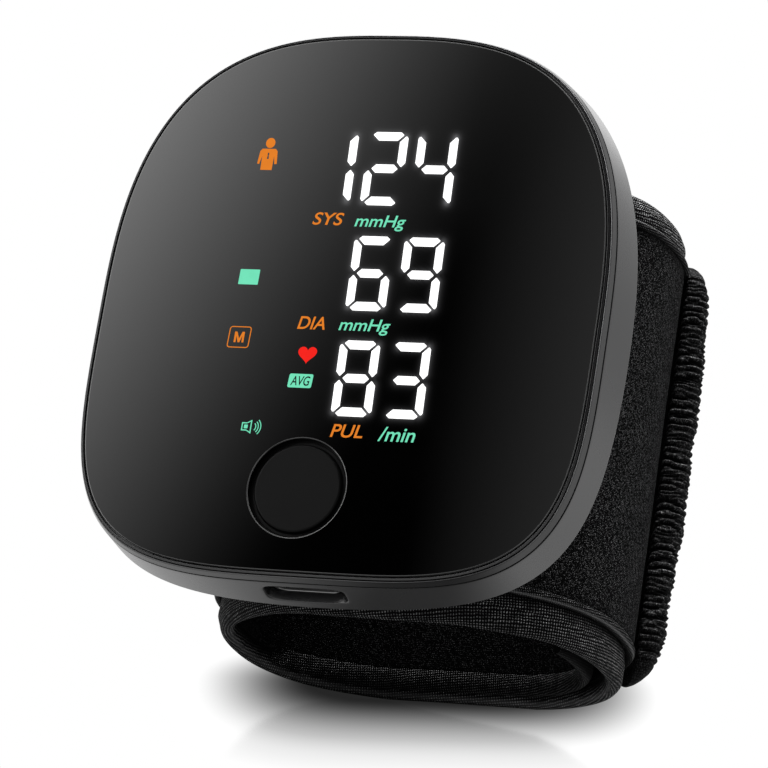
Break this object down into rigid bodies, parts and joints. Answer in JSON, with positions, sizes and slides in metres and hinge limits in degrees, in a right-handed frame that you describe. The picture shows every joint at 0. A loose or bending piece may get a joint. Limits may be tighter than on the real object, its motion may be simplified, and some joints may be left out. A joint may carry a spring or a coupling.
{
  "type": "wrist blood pressure monitor",
  "caption": "Wrist-worn blood pressure monitor: a slim housing with a glass front, round push button and charging socket, on a padded cuff with a gathered strap end.",
  "frame": {"origin": "on the table, under the middle of the bounding box, with the monitor lying on the back of its closed cuff", "axes": "+X to the display's right, +Y to the display's top and along the wrist opening, +Z out of the front glass"},
  "size_m": [0.0728, 0.0782, 0.0553],
  "materials": {
    "front_glass": "gloss, black printed behind",
    "frame_plastic": "fine satin",
    "shell_plastic": "fine satin",
    "button_plastic": "satin with a turned face",
    "white_plastic": "moulded",
    "black_plastic": "moulded",
    "circuit_board": "solder mask",
    "chip_plastic": "moulded",
    "nickel": "plated",
    "steel": "drawn",
    "copper": "wound and turned",
    "brass": "turned",
    "battery_foil": "foil pouch",
    "silicone": "matt",
    "foam": "cellular",
    "core_plastic": "sheet",
    "bladder_rubber": "matt sheet",
    "wrap_fabric": "knitted loop with a fine diagonal",
    "tape_fabric": "woven tape",
    "lining_fabric": "brushed knit",
    "gathered_fabric": "gathered woven fabric",
    "hook_fabric": "hook tape"
  },
  "bodies": {
    "monitor": {"front_glass": "front_glass", "glass_gasket": "foam", "front_frame": "frame_plastic", "rear_shell": "shell_plastic", "housing_screw_1": "steel", "housing_screw_2": "steel", "housing_screw_3": "steel", "housing_screw_4": "steel", "cuff_mount_plate": "black_plastic", "main_board": "circuit_board", "display_module": "white_plastic", "switch_base": "black_plastic", "controller_chip": "chip_plastic", "pressure_sensor": "chip_plastic", "socket_shell": "nickel", "socket_tongue": "black_plastic", "speaker": "black_plastic", "battery_foam": "foam", "battery_cell": "battery_foil", "pump_motor_case": "steel", "pump_head": "white_plastic", "air_manifold": "black_plastic", "solenoid_valve": "steel", "cuff_air_hose": "silicone", "valve_air_hose": "silicone", "air_nozzle": "white_plastic", "nozzle_seal": "silicone", "outer_wrap": "wrap_fabric", "wrap_piping_top": "tape_fabric", "wrap_piping_bottom": "tape_fabric", "edge_binding_top": "tape_fabric", "edge_binding_bottom": "tape_fabric", "cuff_core": "core_plastic", "air_bladder": "bladder_rubber", "cuff_lining": "lining_fabric", "lining_tail": "tape_fabric"},
    "start_button": {"start_button": "button_plastic"},
    "switch_plunger": {"switch_plunger": "brass"},
    "pump_rotor": {"pump_rotor": "copper"},
    "valve_plunger": {"valve_plunger": "brass"},
    "strap_end": {"gathered_strap_end": "gathered_fabric", "hook_patch": "hook_fabric"}
  },
  "joints": [
    {"name": "button_press", "type": "slide", "parent": "monitor", "child": "start_button", "axis": [0, 0, -1], "range_m": [0, 0.0005], "stiffness_N_per_m": 1500},
    {"name": "switch_press", "type": "slide", "parent": "monitor", "child": "switch_plunger", "axis": [0, 0, -1], "range_m": [0, 0.00065]},
    {"name": "pump_spin", "type": "hinge", "parent": "monitor", "child": "pump_rotor", "pos_m": [0.0234, 0.006, 0.0476], "axis": [0, 1, 0], "continuous": true},
    {"name": "valve_stroke", "type": "slide", "parent": "monitor", "child": "valve_plunger", "axis": [1, 0, 0], "range_m": [0, 0.0008], "stiffness_N_per_m": 300},
    {"name": "strap_peel", "type": "hinge", "parent": "monitor", "child": "strap_end", "pos_m": [0.0269, -0.0079, 0.0032], "axis": [0, 1, 0], "range_deg": [0, 35]}
  ],
  "couplings": [
    {"joint": "switch_press", "follows": "button_press", "ratio": 1}
  ]
}
